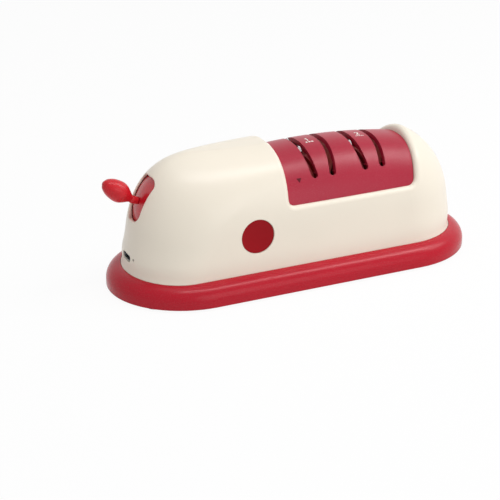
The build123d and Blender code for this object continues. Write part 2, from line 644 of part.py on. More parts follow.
def make_lever_knob():
    """Egg on a short stem; its profile swells by a cosine and closes as a half-ellipse."""
    widest = KNOB_NECK * KNOB_LENGTH
    steps = 7
    points = []
    for i in range(steps + 1):
        share = (0.5 - 0.5 * math.cos(math.pi * i / steps)) ** KNOB_SWELL
        points.append((KNOB_ROOT_R + (KNOB_R - KNOB_ROOT_R) * share, widest * i / steps))
    for i in range(1, steps):
        turn = math.pi / 2 * i / steps
        points.append((KNOB_R * math.cos(turn), widest + (KNOB_LENGTH - widest) * math.sin(turn)))
    points.append((0, KNOB_LENGTH))
    profile = make_face(
        Line((0, 0), points[0]) + Spline(points, tangents=[(0, 1), (-1, 0)]) + Line((0, KNOB_LENGTH), (0, 0))
    )
    neck_x, neck_z = polar(STEM_TILT, STEM_OUT)
    angle = math.radians(KNOB_TILT)
    egg_axis = (-math.cos(angle), 0, math.sin(angle))
    egg_plane = Plane(origin=(neck_x, 0, neck_z), x_dir=(0, 1, 0), z_dir=egg_axis)
    knob = egg_plane * Rot(90, 0, 0) * revolve(profile, Axis.Y)
    knob += Pos(neck_x, 0, neck_z) * Sphere(STEM_BEAD_R)
    length = STEM_OUT - SHIELD_R - SHIELD_FIT / 3
    stem = rod_plane(STEM_TILT, STEM_OUT - length / 2) * Cylinder(STEM_R, length)
    knob += stem
    socket = Cylinder(STEM_R - SPIGOT_WALL + SEAT_FIT, 2 * SPIGOT_LENGTH + SHIELD_FIT)
    knob -= rod_plane(STEM_TILT, SHIELD_R) * socket
    return knob


def make_lever_pin():
    outside = HUB_HALF + EAR_GAP + EAR_THICK
    return cylinder_y(PIVOT_X, PIVOT_Z, PIN_R, -outside, outside + SWITCH_THICK - EAR_GAP - 1)


def make_lever_bracket():
    low = PLATE_TOP
    bracket = box(PIVOT_X - EAR_R, PIVOT_X + EAR_R, -BRACKET_HALF, BRACKET_HALF, low, low + BRACKET_THICK)
    inside = HUB_HALF + EAR_GAP
    for side in (-1, 1):
        ends = sorted((side * inside, side * (inside + EAR_THICK)))
        bracket += box(PIVOT_X - EAR_R, PIVOT_X + EAR_R, *ends, low, PIVOT_Z)
        bracket += cylinder_y(PIVOT_X, PIVOT_Z, EAR_R, *ends)
        bracket -= cylinder_y(PIVOT_X, PIVOT_Z, PIN_R + RUN_FIT, *ends)
        bracket -= cylinder_z(PIVOT_X, side * BRACKET_SCREW_Y, SMALL_SCREW_R + SCREW_FIT,
                              low, low + BRACKET_THICK)
    return bracket


def make_rotary_switch():
    outside = HUB_HALF + EAR_GAP + EAR_THICK
    half = SWITCH_SIZE / 2
    switch = box(PIVOT_X - half, PIVOT_X + half, outside, outside + SWITCH_THICK,
                 PIVOT_Z - half, PIVOT_Z + half)
    return switch - cylinder_y(PIVOT_X, PIVOT_Z, PIN_R + RUN_FIT, outside, outside + SWITCH_THICK - 1)


# ---- motor ----
def make_motor_can():
    can = chamfer(cylinder_x(MOTOR_R, MOTOR_LEFT, MOTOR_RIGHT).edges().filter_by(GeomType.CIRCLE), 0.6)
    can += cylinder_x(MOTOR_NECK_R, MOTOR_RIGHT, MOTOR_RIGHT + MOTOR_NECK)
    return can - cylinder_x(MOTOR_SHAFT_R + RUN_FIT, MOTOR_SHAFT_LEFT - 0.5, MOTOR_RIGHT + MOTOR_NECK)


def make_motor_end_cap():
    cap = cylinder_x(MOTOR_R - 0.8, MOTOR_LEFT - END_CAP_THICK, MOTOR_LEFT)
    left = MOTOR_LEFT - END_CAP_THICK - TAB_LENGTH
    for side in (-1, 1):
        z = AXIS_Z + side * TAB_OFFSET
        cap += box(left, MOTOR_LEFT - END_CAP_THICK, -TAB_HALF, TAB_HALF,
                   z - TAB_THICK / 2, z + TAB_THICK / 2)
    return cap


def make_motor_dampers():
    ring_r = MOTOR_R + DAMPER_THICK
    return [
        cylinder_x(ring_r, x, x + DAMPER_LENGTH) - cylinder_x(MOTOR_R + SEAT_FIT, x, x + DAMPER_LENGTH)
        for x in DAMPER_XS
    ]


def make_motor_straps():
    inner, outer = STRAP_R, STRAP_R + STRAP_THICK
    straps = []
    for x in DAMPER_XS:
        right = x + DAMPER_LENGTH
        strap = cylinder_x(outer, x, right) & box(x, right, -outer, outer, AXIS_Z, AXIS_Z + outer)
        strap += box(x, right, -outer, outer, CRADLE_TOP, AXIS_Z)
        strap += box(x, right, -CRADLE_HALF, CRADLE_HALF, CRADLE_TOP, CRADLE_TOP + STRAP_THICK)
        strap -= cylinder_x(inner, x, right)
        strap -= box(x, right, -inner, inner, CRADLE_TOP, AXIS_Z)
        for side in (-1, 1):
            strap -= cylinder_z(x + DAMPER_LENGTH / 2, side * STRAP_SCREW_Y, SMALL_SCREW_R + SCREW_FIT,
                                CRADLE_TOP, CRADLE_TOP + STRAP_THICK)
        straps.append(strap)
    return straps


# ---- chassis and bearings ----
def make_drive_chassis():
    middle = (PLATE_LEFT + PLATE_RIGHT) / 2
    plate = RectangleRounded(PLATE_RIGHT - PLATE_LEFT, 2 * PLATE_HALF, PLATE_CORNER)
    chassis = Pos(middle, 0, PLATE_BOTTOM) * extrude(plate, PLATE_TOP - PLATE_BOTTOM)
    chassis -= box(WINDOW_LEFT, WINDOW_RIGHT, -WINDOW_HALF, WINDOW_HALF, PLATE_BOTTOM, PLATE_TOP)
    for x in DAMPER_XS:
        chassis += box(x, x + DAMPER_LENGTH, -CRADLE_HALF, CRADLE_HALF, PLATE_TOP, CRADLE_TOP)
        chassis -= cylinder_x(STRAP_R, x - 0.5, x + DAMPER_LENGTH + 0.5)
        for side in (-1, 1):
            chassis -= cylinder_z(x + DAMPER_LENGTH / 2, side * STRAP_SCREW_Y, SMALL_SCREW_R + SEAT_FIT,
                                  CRADLE_TOP - SMALL_LENGTH, CRADLE_TOP)
    for x in BEARING_XS:
        chassis += box(x, x + BEARING_LENGTH, -PEDESTAL_HALF, PEDESTAL_HALF, PLATE_TOP, AXIS_Z)
        chassis -= cylinder_x(BEARING_R + SEAT_FIT, x, x + BEARING_LENGTH)
        for side in (-1, 1):
            low = AXIS_Z + CAP_FLANGE - SMALL_LENGTH
            chassis -= cylinder_z(x + BEARING_LENGTH / 2, side * CAP_SCREW_Y, SMALL_SCREW_R + SEAT_FIT,
                                  low, AXIS_Z)
    for x, y in LEG_SPOTS:
        chassis += cylinder_z(x, y, LEG_R, SEAT_HEIGHT, PLATE_BOTTOM)
        chassis -= cylinder_z(x, y, SCREW_R + SEAT_FIT, SEAT_HEIGHT, SEAT_HEIGHT + SCREW_LENGTH)
    for side in (-1, 1):
        seat = PLATE_TOP + BRACKET_THICK - SMALL_LENGTH
        spot = PIVOT_X, side * BRACKET_SCREW_Y
        chassis += cylinder_z(*spot, BRACKET_BOSS_R, seat, PLATE_BOTTOM)
        chassis -= cylinder_z(*spot, SMALL_SCREW_R + SEAT_FIT, seat, PLATE_TOP)
    return chassis


def make_bearing(x):
    bush = cylinder_x(BEARING_R, x, x + BEARING_LENGTH)
    return bush - cylinder_x(SHAFT_R + RUN_FIT, x, x + BEARING_LENGTH)


def make_bearing_cap(x):
    right = x + BEARING_LENGTH
    cap = cylinder_x(CAP_ARC_R, x, right) & box(x, right, -CAP_ARC_R, CAP_ARC_R, AXIS_Z, AXIS_Z + CAP_ARC_R)
    cap += box(x, right, -PEDESTAL_HALF, PEDESTAL_HALF, AXIS_Z, AXIS_Z + CAP_FLANGE)
    cap -= cylinder_x(BEARING_R + SEAT_FIT, x, right)
    for side in (-1, 1):
        cap -= cylinder_z(x + BEARING_LENGTH / 2, side * CAP_SCREW_Y, SMALL_SCREW_R + SCREW_FIT,
                          AXIS_Z, AXIS_Z + CAP_FLANGE)
    return cap


# ---- rotating parts ----
def make_shaft_coupling():
    joint = SHAFT_LEFT - SEAT_FIT
    sleeve = cylinder_x(COUPLING_R, COUPLING_LEFT, COUPLING_RIGHT)
    sleeve -= cylinder_x(MOTOR_SHAFT_R + SEAT_FIT, COUPLING_LEFT, joint)
    return sleeve - cylinder_x(SHAFT_R + SEAT_FIT, joint, COUPLING_RIGHT)


def wheel_face_x(stage_x, side):
    """X of a wheel's flat back, which looks at its twin across the gap."""
    return stage_x + side * WHEEL_GAP / 2


def make_wheel(stage_x, side):
    """Grinding disc with a coned outer face; side tells which way the cone looks."""
    profile = make_face(Polyline(
        (0, 0), (WHEEL_R, 0), (WHEEL_R, WHEEL_THICK - WHEEL_BEVEL), (WHEEL_FLAT_R, WHEEL_THICK),
        (0, WHEEL_THICK), close=True,
    ))
    wheel = revolve(profile, Axis.Y)
    turn = Rot(0, 0, -90) if side > 0 else Rot(0, 0, 90)
    wheel = Pos(wheel_face_x(stage_x, side), 0, AXIS_Z) * turn * wheel
    reach = 2 * WHEEL_THICK
    return wheel - cylinder_x(SHAFT_R + SEAT_FIT, stage_x - reach, stage_x + reach)


def make_wheel_spacers():
    outer = WHEEL_GAP / 2 + WHEEL_THICK
    spans = [(x - WHEEL_GAP / 2, x + WHEEL_GAP / 2) for x in STAGE_XS]
    spans.append((STAGE_XS[0] + outer, STAGE_XS[1] - outer))
    spans.append((STAGE_XS[1] + outer, BEARING_XS[1] - SPACER_PLAY))
    return [
        cylinder_x(SPACER_R, left, right) - cylinder_x(SHAFT_R + SEAT_FIT, left, right)
        for left, right in spans
    ]


def make_shaft_clip():
    left = BEARING_XS[1] + BEARING_LENGTH + SPACER_PLAY
    right = left + CLIP_RING_THICK
    ring = cylinder_x(CLIP_RING_R, left, right) - cylinder_x(SHAFT_R + SEAT_FIT, left, right)
    return ring - box(left, right, -SHAFT_R / 2, SHAFT_R / 2, AXIS_Z, AXIS_Z + CLIP_RING_R)


# ---- battery ----
def make_battery_cell():
    right = CELL_LEFT + CELL_LENGTH
    can = cylinder_x(CELL_R, CELL_LEFT, right - CELL_NUB, z=CELL_Z)
    can = chamfer(can.edges().filter_by(GeomType.CIRCLE), 0.5)
    return can + cylinder_x(CELL_NUB_R, right - CELL_NUB, right, z=CELL_Z)


def make_battery_holder():
    left = CELL_LEFT - CONTACT_THICK
    right = CELL_LEFT + CELL_LENGTH + CONTACT_THICK
    half = CELL_R + RIM_FIT + HOLDER_WALL
    holder = box(left - HOLDER_END, right + HOLDER_END, -half, half, FLOOR_TOP, CELL_Z)
    for low in (left - HOLDER_END, right):
        holder += box(low, low + HOLDER_END, -CELL_R / 2, CELL_R / 2, CELL_Z, CELL_Z + CELL_R / 2)
    holder -= cylinder_x(CELL_R + RIM_FIT, left, right, z=CELL_Z)
    for side in (-1, 1):
        ends = sorted((side * half, side * (HOLDER_SCREW_Y + BOARD_POST_R)))
        ear_half = BOARD_POST_R
        top = HOLDER_EAR_BOTTOM + HOLDER_EAR
        holder += box(HOLDER_SCREW_X - ear_half, HOLDER_SCREW_X + ear_half, *ends, HOLDER_EAR_BOTTOM, top)
        holder -= cylinder_z(HOLDER_SCREW_X, side * HOLDER_SCREW_Y, SMALL_SCREW_R + SCREW_FIT,
                             HOLDER_EAR_BOTTOM, top)
    return holder


def make_battery_contacts():
    half = CELL_R / 2 - 0.4
    right = CELL_LEFT + CELL_LENGTH
    return [
        box(low, low + CONTACT_THICK, -half, half, CELL_Z - half, CELL_Z + half)
        for low in (CELL_LEFT - CONTACT_THICK, right)
    ]


# ---- charging board ----
def make_charging_board():
    outline = Face(housing_loop(BOARD_BOTTOM, WALL + 2 * PORT_FIT))
    board = Solid.extrude(outline, (0, 0, BOARD_THICK))
    board = board & box(BOARD_LEFT, BOARD_RIGHT, -BOARD_HALF, BOARD_HALF, 0, JOIN_HEIGHT * 2)
    for x, y in BOARD_POSTS:
        board -= cylinder_z(x, y, SMALL_SCREW_R + SCREW_FIT, BOARD_BOTTOM, BOARD_TOP)
    return board


def make_usb_socket():
    back = PORT_FRONT + PORT_LENGTH
    shell = port_prism(0.0, PORT_FRONT, back) - port_prism(-PORT_SHELL, PORT_FRONT, back - PORT_SHELL * 3)
    width, thick = PORT_TONGUE
    return shell + box(PORT_FRONT + 1, back, -width / 2, width / 2, PORT_Z - thick / 2, PORT_Z + thick / 2)


def make_status_lamp():
    return box(LAMP_BACK, LAMP_BACK + LAMP_BLOCK, LAMP_Y - LAMP_BLOCK / 2, LAMP_Y + LAMP_BLOCK / 2,
               BOARD_TOP, BOARD_TOP + 1.4 * LAMP_BLOCK)


def make_light_pipe():
    pipe = cylinder_x(LAMP_R, LAMP_FRONT, LAMP_BACK, LAMP_Y, LAMP_Z)
    return pipe + cylinder_x(LAMP_FLANGE_R, LAMP_FLANGE_LEFT, LAMP_FLANGE_LEFT + 1, LAMP_Y, LAMP_Z)


# ---- dust tray ----
def make_dust_tray():
    tray = box(TRAY_LEFT, TRAY_RIGHT, -TRAY_HALF, TRAY_HALF, FLOOR_TOP, TRAY_TOP)
    tray = fillet(tray.edges().filter_by(Axis.Z), TRAY_WALL * 2)
    length, width = TRAY_RIGHT - TRAY_LEFT - 2 * TRAY_WALL, 2 * TRAY_HALF - 2 * TRAY_WALL
    inside = RectangleRounded(length, width, TRAY_WALL)
    depth = TRAY_TOP - FLOOR_TOP - TRAY_WALL
    cavity = Pos((TRAY_LEFT + TRAY_RIGHT) / 2, 0, TRAY_TOP) * extrude(inside, -depth, taper=TRAY_DRAFT)
    return tray - cavity


def make_tray_magnet():
    length, width, thick = MAGNET
    middle = (TRAY_LEFT + TRAY_RIGHT) / 2
    low = FLOOR_TOP + TRAY_WALL
    return box(middle - length / 2, middle + length / 2, -width / 2, width / 2, low, low + thick)


# ---- screws ----
def case_screw(x, y):
    screw = round_screw(x, y, FLOOR_TOP, SCREW_R, SCREW_HEAD_R, SCREW_HEAD, SCREW_LENGTH, True)
    length, width, depth = SCREW_CROSS
    low = FLOOR_TOP - SCREW_HEAD
    for half_x, half_y in ((length / 2, width / 2), (width / 2, length / 2)):
        screw -= box(x - half_x, x + half_x, y - half_y, y + half_y, low, low + depth)
    return screw


def small_screw(x, y, seat):
    return round_screw(x, y, seat, SMALL_SCREW_R, SMALL_HEAD_R, SMALL_HEAD, SMALL_LENGTH, False)


def make_small_screws():
    """The small screws, by the piece that they hold."""
    sides = (-1, 1)
    bracket = [small_screw(PIVOT_X, s * BRACKET_SCREW_Y, PLATE_TOP + BRACKET_THICK) for s in sides]
    strap = [small_screw(x + DAMPER_LENGTH / 2, s * STRAP_SCREW_Y, CRADLE_TOP + STRAP_THICK)
             for x in DAMPER_XS for s in sides]
    cap = [small_screw(x + BEARING_LENGTH / 2, s * CAP_SCREW_Y, AXIS_Z + CAP_FLANGE)
           for x in BEARING_XS for s in sides]
    holder = [small_screw(HOLDER_SCREW_X, s * HOLDER_SCREW_Y, HOLDER_EAR_BOTTOM + HOLDER_EAR) for s in sides]
    board = [small_screw(x, y, BOARD_TOP) for x, y in BOARD_POSTS]
    return {"bracket_screws": bracket, "strap_screws": strap, "bearing_cap_screws": cap,
            "holder_screws": holder, "board_screws": board}


# ---- the assembly ----
def build():
    nodes = {
        "base_tray": make_base_tray(),
        "rubber_feet": make_rubber_feet(),
        "housing": make_housing(),
        "eye_disc_front": make_eye_disc(-1),
        "eye_disc_back": make_eye_disc(1),
        "slot_cover": make_slot_cover(),
        "coarse_blade_leaves": make_blade_leaves(STAGE_XS[0]),
        "fine_blade_leaves": make_blade_leaves(STAGE_XS[1]),
        "guide_tips": [tip for x in STAGE_XS for tip in make_guide_tips(x)],
        "lever_shield": make_lever_shield(),
        "lever_knob": make_lever_knob(),
        "lever_pin": make_lever_pin(),
        "lever_bracket": make_lever_bracket(),
        "rotary_switch": make_rotary_switch(),
        "drive_chassis": make_drive_chassis(),
        "motor_can": make_motor_can(),
        "motor_end_cap": make_motor_end_cap(),
        "motor_dampers": make_motor_dampers(),
        "motor_straps": make_motor_straps(),
        "motor_shaft": cylinder_x(MOTOR_SHAFT_R, MOTOR_SHAFT_LEFT, SHAFT_LEFT - 2 * SEAT_FIT),
        "shaft_coupling": make_shaft_coupling(),
        "grinding_shaft": cylinder_x(SHAFT_R, SHAFT_LEFT, SHAFT_RIGHT),
        "left_bearing": make_bearing(BEARING_XS[0]),
        "right_bearing": make_bearing(BEARING_XS[1]),
        "left_bearing_cap": make_bearing_cap(BEARING_XS[0]),
        "right_bearing_cap": make_bearing_cap(BEARING_XS[1]),
        "coarse_wheel_left": make_wheel(STAGE_XS[0], -1),
        "coarse_wheel_right": make_wheel(STAGE_XS[0], 1),
        "fine_wheel_left": make_wheel(STAGE_XS[1], -1),
        "fine_wheel_right": make_wheel(STAGE_XS[1], 1),
        "wheel_spacers": make_wheel_spacers(),
        "shaft_clip": make_shaft_clip(),
        "battery_cell": make_battery_cell(),
        "battery_holder": make_battery_holder(),
        "battery_contacts": make_battery_contacts(),
        "charging_board": make_charging_board(),
        "usb_socket": make_usb_socket(),
        "status_lamp": make_status_lamp(),
        "light_pipe": make_light_pipe(),
        "dust_tray": make_dust_tray(),
        "tray_magnet": make_tray_magnet(),
        "housing_screws": [case_screw(x, y) for x, y in CASE_SCREW_SPOTS],
        "chassis_screws": [case_screw(x, y) for x, y in LEG_SPOTS],
    }
    nodes.update(make_small_screws())
    return nodes


def main():
    os.makedirs("parts", exist_ok=True)
    for name, made in build().items():
        solids = made if isinstance(made, list) else [made]
        group = Compound(children=[solid for piece in solids for solid in piece.solids()])
        group.label = name
        export_step(group, f"parts/{name}.step")


main()
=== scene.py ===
import json
import math

import bmesh
import bpy
from mathutils import Matrix, Vector
from mathutils.bvhtree import BVHTree


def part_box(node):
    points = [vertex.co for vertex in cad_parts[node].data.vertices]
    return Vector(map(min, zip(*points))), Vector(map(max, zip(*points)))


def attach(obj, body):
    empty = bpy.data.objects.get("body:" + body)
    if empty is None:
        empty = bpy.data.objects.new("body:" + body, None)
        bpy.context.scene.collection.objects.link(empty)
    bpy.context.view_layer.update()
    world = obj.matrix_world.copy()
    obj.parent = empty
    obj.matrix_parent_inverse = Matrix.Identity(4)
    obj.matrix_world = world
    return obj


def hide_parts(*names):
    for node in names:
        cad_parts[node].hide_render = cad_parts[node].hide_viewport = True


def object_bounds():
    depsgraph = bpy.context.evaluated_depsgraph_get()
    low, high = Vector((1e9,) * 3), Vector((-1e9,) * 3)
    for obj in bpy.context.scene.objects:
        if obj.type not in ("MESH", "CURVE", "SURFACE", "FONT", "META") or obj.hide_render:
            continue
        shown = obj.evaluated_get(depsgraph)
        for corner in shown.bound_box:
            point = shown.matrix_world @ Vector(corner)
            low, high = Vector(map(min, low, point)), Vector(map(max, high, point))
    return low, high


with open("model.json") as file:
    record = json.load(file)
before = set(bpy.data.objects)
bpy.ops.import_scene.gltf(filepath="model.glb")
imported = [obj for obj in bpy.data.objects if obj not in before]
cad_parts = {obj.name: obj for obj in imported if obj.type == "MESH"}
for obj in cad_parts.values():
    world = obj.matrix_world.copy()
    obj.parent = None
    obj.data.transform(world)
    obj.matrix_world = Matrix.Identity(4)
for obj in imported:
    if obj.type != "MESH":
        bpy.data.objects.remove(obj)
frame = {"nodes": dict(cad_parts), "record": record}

CAD_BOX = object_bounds()
NODES = frame["nodes"]
MM = 0.001
UP = Vector((0.0, 0.0, 1.0))
TO_THE_BACK = Vector((0.0, 1.0, 0.0))


# ---- camera: a long lens, a little above the object and to the left of its front ----
AZIMUTH = math.radians(-24.86)
ELEVATION = math.radians(23.33)
DISTANCE = 0.7695            # metres, from the target
TARGET = Vector((-12.06, 20.16, 0.0)) * MM
LENS = 110.3                 # millimetres, as the sensor's width is
SENSOR_WIDTH = 36.0
NEAREST, FARTHEST = 0.01, 10.0    # metres


def make_camera():
    data = bpy.data.cameras.new("camera")
    camera = bpy.data.objects.new("camera", data)
    bpy.context.collection.objects.link(camera)
    data.lens = LENS
    data.sensor_width = SENSOR_WIDTH
    data.clip_start = NEAREST
    data.clip_end = FARTHEST
    level = Vector((math.cos(AZIMUTH), math.sin(AZIMUTH), 0.0))
    back = Vector((
        math.sin(AZIMUTH) * math.cos(ELEVATION),
        -math.cos(AZIMUTH) * math.cos(ELEVATION),
        math.sin(ELEVATION),
    ))
    up = back.cross(level)
    turn = Matrix((level, up, back)).transposed().to_4x4()
    camera.matrix_world = Matrix.Translation(TARGET + back * DISTANCE) @ turn
    bpy.context.scene.camera = camera


# ---- materials: noise scales are per metre, bump depths in metres ----
MIX_SHARE, MIX_FIRST, MIX_SECOND, MIX_RESULT = 0, 6, 7, 2   # the Mix node's sockets for colours


def linear(red, green, blue):
    """Linear colour of an sRGB colour given as 0 to 255."""
    def one(value):
        value /= 255.0
        return value / 12.92 if value <= 0.04045 else ((value + 0.055) / 1.055) ** 2.4
    return one(red), one(green), one(blue), 1.0


def tint(colour, factor):
    return tuple(min(1.0, c * factor) for c in colour[:3]) + (1.0,)


def half_white(colour):
    return tuple(0.5 + 0.5 * c for c in colour[:3]) + (1.0,)


class Shader:
    """A Principled material, with helpers that add nodes and link them."""

    def __init__(self, name):
        self.material = bpy.data.materials.new(name)
        self.material.use_nodes = True
        self.tree = self.material.node_tree
        self.main = self.tree.nodes["Principled BSDF"]
        self.place = self.tree.nodes.new("ShaderNodeTexCoord").outputs["Object"]

    def node(self, kind, **values):
        """A new node: a value goes to the socket of that name, or else to the node's own setting."""
        node = self.tree.nodes.new(kind)
        for key, value in values.items():
            if key in node.inputs:
                node.inputs[key].default_value = value
            else:
                setattr(node, key, value)
        return node

    def link(self, source, target):
        self.tree.links.new(source, target)

    def set(self, **values):
        """Give the shader's sockets one value each, with _ for a space in their names."""
        for key, value in values.items():
            self.main.inputs[key.replace("_", " ")].default_value = value

    def feed(self, **sources):
        """Link sources to the shader's sockets."""
        for key, source in sources.items():
            self.link(source, self.main.inputs[key.replace("_", " ")])

    def noise(self, scale, detail=3.0, place=None):
        node = self.node("ShaderNodeTexNoise", Scale=scale, Detail=detail)
        self.link(place or self.place, node.inputs["Vector"])
        return node.outputs["Fac"]

    def ramp(self, source, low, high, start=0.3, end=0.7):
        node = self.node("ShaderNodeValToRGB")
        node.color_ramp.elements[0].position = start
        node.color_ramp.elements[0].color = low
        node.color_ramp.elements[1].position = end
        node.color_ramp.elements[1].color = high
        self.link(source, node.inputs["Fac"])
        return node.outputs["Color"]

    def spread(self, source, low, high):
        """A source of 0 to 1 spread over low to high."""
        node = self.node("ShaderNodeMapRange")
        node.inputs["To Min"].default_value = low
        node.inputs["To Max"].default_value = high
        self.link(source, node.inputs["Value"])
        return node.outputs["Result"]

    def paint_glints(self, flow, colour, amount):
        """Fine lighter flecks over a colour: painted glints that stand in for speckled highlights on the
        plastic.
        """
        flecks = self.noise(scale=2600.0, detail=1.0)
        share = self.ramp(flecks, (0, 0, 0, 1), (amount, amount, amount, 1), start=0.52, end=0.75)
        mix = self.node("ShaderNodeMix", data_type="RGBA")
        self.link(share, mix.inputs[MIX_SHARE])
        self.link(flow, mix.inputs[MIX_FIRST])
        mix.inputs[MIX_SECOND].default_value = half_white(colour)
        return mix.outputs[MIX_RESULT]

    def bump(self, source, strength, distance, normal=None):
        node = self.node("ShaderNodeBump", Strength=strength, Distance=distance)
        self.link(source, node.inputs["Height"])
        if normal is not None:
            self.link(normal, node.inputs["Normal"])
        return node.outputs["Normal"]

    def eased_edge(self, radius, samples):
        node = self.node("ShaderNodeBevel", samples=samples)
        node.inputs["Radius"].default_value = radius * MM
        return node.outputs["Normal"]


def moulded(name, colour, roughness=0.35, grain=0.02, edge=0.3, gloss=0.5, vary=0.04, glint_share=0.0):
    """Injection-moulded plastic: soft flow variation, a fine spark-eroded grain and eased edges."""
    shader = Shader(name)
    flow = shader.noise(scale=22.0, detail=2.0)
    flow = shader.ramp(flow, tint(colour, 1 - vary), tint(colour, 1 + vary))
    # Painted glints: lighter flecks mixed into the colour.
    if glint_share:
        flow = shader.paint_glints(flow, colour, glint_share)
    dull = shader.spread(shader.noise(scale=60.0, detail=4.0), roughness - 0.04, roughness + 0.05)
    normal = shader.eased_edge(edge, samples=6) if edge else None
    normal = shader.bump(shader.noise(scale=1500.0), grain, distance=0.0002, normal=normal)
    shader.set(IOR=1.5, Specular_IOR_Level=gloss)
    shader.feed(Base_Color=flow, Roughness=dull, Normal=normal)
    return shader.material


def metal(name, colour, roughness=0.3, brushed=(1.0, 1.0, 1.0)):
    """Metal with a fine turned or brushed finish, stretched along the axis whose scale is low."""
    shader = Shader(name)
    mapping = shader.node("ShaderNodeMapping", Scale=brushed)
    shader.link(shader.place, mapping.inputs["Vector"])
    streak = shader.noise(scale=900.0, place=mapping.outputs["Vector"])
    normal = shader.eased_edge(0.1, samples=4)
    shader.set(Metallic=1.0)
    shader.feed(
        Base_Color=shader.ramp(streak, tint(colour, 0.86), tint(colour, 1.1)),
        Roughness=shader.spread(streak, roughness - 0.07, roughness + 0.1),
        Normal=shader.bump(streak, strength=0.06, distance=0.0001, normal=normal),
    )
    return shader.material


def grit(name, colour, scale, depth):
    """Bonded abrasive: hard specks in a darker bond."""
    shader = Shader(name)
    cell = shader.node("ShaderNodeTexVoronoi", Scale=scale)
    shader.link(shader.place, cell.inputs["Vector"])
    far = cell.outputs["Distance"]
    shader.set(Metallic=0.35, Roughness=0.6)
    shader.feed(
        Base_Color=shader.ramp(far, tint(colour, 1.35), tint(colour, 0.55), start=0.15, end=0.65),
        Normal=shader.bump(far, strength=0.6, distance=depth),
    )
    return shader.material


def clear(name, clearness, roughness):
    """Clear or milky plastic with a faint flow pattern."""
    shader = Shader(name)
    shader.set(Transmission_Weight=clearness, IOR=1.49)
    shader.feed(
        Base_Color=shader.ramp(shader.noise(scale=400.0), (0.9, 0.92, 0.93, 1), (0.97, 0.98, 1, 1)),
        Roughness=shader.spread(shader.noise(scale=900.0), roughness, roughness + 0.1),
    )
    return shader.material


# The edge radii are in millimetres. The reds are given as linear colours.
PLASTICS = {
    "cream_plastic": dict(
        colour=linear(241, 232, 216), roughness=0.3, grain=0.03, edge=0.5, gloss=0.42, vary=0.012),
    # The reds below carry lighter flecks in their colour as painted glints.
    "red_plastic": dict(
        colour=(0.455, 0.003, 0.017, 1.0), roughness=0.24, grain=0.06, edge=0.35, gloss=0.24, glint_share=0.04),
    # The cover shares the base's red plastic: its gloss is its own, and the extra blue in its colour is
    # partly painted lilac sheen.
    "cover_plastic": dict(
        colour=(0.38, 0.007, 0.031, 1.0), roughness=0.33, grain=0.16, edge=0.35, gloss=0.36, glint_share=0.05),
    "lever_plastic": dict(
        colour=(0.58, 0.008, 0.017, 1.0), roughness=0.3, grain=0.02, edge=1.5, gloss=0.32),
    "shield_plastic": dict(
        colour=(0.52, 0.004, 0.014, 1.0), roughness=0.26, grain=0.04, edge=0.3, gloss=0.8),
    "dark_red_plastic": dict(
        colour=(0.31, 0.001, 0.006, 1.0), roughness=0.36, grain=0.04, edge=0.3, gloss=0.14),
    "print_white": dict(colour=linear(240, 232, 226), roughness=0.5, grain=0.05, edge=0.0),
    "print_dark": dict(
        colour=(0.10, 0.004, 0.010, 1.0), roughness=0.6, grain=0.05, edge=0.0, gloss=0.2),
    "pale_plastic": dict(colour=linear(236, 236, 238), roughness=0.4),
    "dark_plastic": dict(colour=linear(58, 58, 61), roughness=0.55, grain=0.2),
    "black_plastic": dict(colour=linear(30, 30, 31), roughness=0.5, grain=0.1),
    "black_rubber": dict(colour=linear(34, 33, 33), roughness=0.75, grain=0.25),
    "cell_sleeve": dict(colour=linear(60, 110, 160), roughness=0.3, grain=0.03, edge=0.1),
    "board_laminate": dict(colour=linear(28, 96, 58), roughness=0.35, grain=0.06, edge=0.1),
}
METALS = {
    "steel": dict(colour=linear(190, 190, 192), roughness=0.28, brushed=(1.0, 0.15, 1.0)),
    "spring_steel": dict(colour=linear(236, 160, 150), roughness=0.45, brushed=(1.0, 1.0, 0.12)),
    "aluminium_alloy": dict(colour=linear(200, 201, 204), roughness=0.3, brushed=(0.15, 1.0, 1.0)),
    "bronze": dict(colour=linear(186, 150, 100), roughness=0.45),
    "magnet_metal": dict(colour=linear(186, 187, 190), roughness=0.25),
}
GRITS = {
    "coarse_grit": dict(colour=linear(196, 66, 68), scale=2600.0, depth=0.00025),
    "fine_grit": dict(colour=linear(180, 70, 72), scale=5200.0, depth=0.0001),
}
CLEARS = {
    "clear_plastic": dict(clearness=0.85, roughness=0.1),
    "frosted_plastic": dict(clearness=0.0, roughness=0.5),
}
KINDS = ((moulded, PLASTICS), (metal, METALS), (grit, GRITS), (clear, CLEARS))

# nodes whose finish differs from the others of their material slot; the cover's also carries painted
# lilac sheen in the blue of its colour
OWN_FINISH = {"slot_cover": "cover_plastic", "lever_shield": "shield_plastic"}


def make_materials():
    return {name: make(name, **values) for make, table in KINDS for name, values in table.items()}


def dress(materials):
    for part in frame["record"]["subparts"]:
        piece = NODES[part["node"]]
        finish = OWN_FINISH.get(part["node"], part["material_slot"])
        piece.data.materials.clear()
        piece.data.materials.append(materials[finish])


# ---- pieces on the cover ----
def cover_surface():
    mesh = NODES["slot_cover"].data
    return BVHTree.FromPolygons([v.co for v in mesh.vertices], [p.vertices for p in mesh.polygons])


def put_on_cover(name, mesh, material):
    """A new piece that moves with the cover."""
    piece = bpy.data.objects.new(name, mesh)
    bpy.context.collection.objects.link(piece)
    mesh.materials.append(material)
    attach(piece, "cover")
    return piece


# ---- inside the slots: pointed tips, and a rib between the slots of each stage ----
# All in millimetres. The tip's outline is seen along Y, from its middle and its peak.
TIP_OUTLINE = ((-1.45, -2.5), (1.05, -2.5), (1.05, -1.9), (0.2, 0.0), (-0.2, 0.0), (-1.45, -2.1))
TIP_BESIDE = -0.4            # from the highest corner of the solid to the middle of the tip
TIP_INWARD = 1.3             # towards the crown
TIP_HIGHER = 0.22
RIB_THICK = 1.4
RIB_HALF = 13.0              # half its length
RIB_DEPTH = 4.6
RIB_SINK = 0.3               # the rib's root lies this deep in the cover's wall
RIB_STEPS = 12


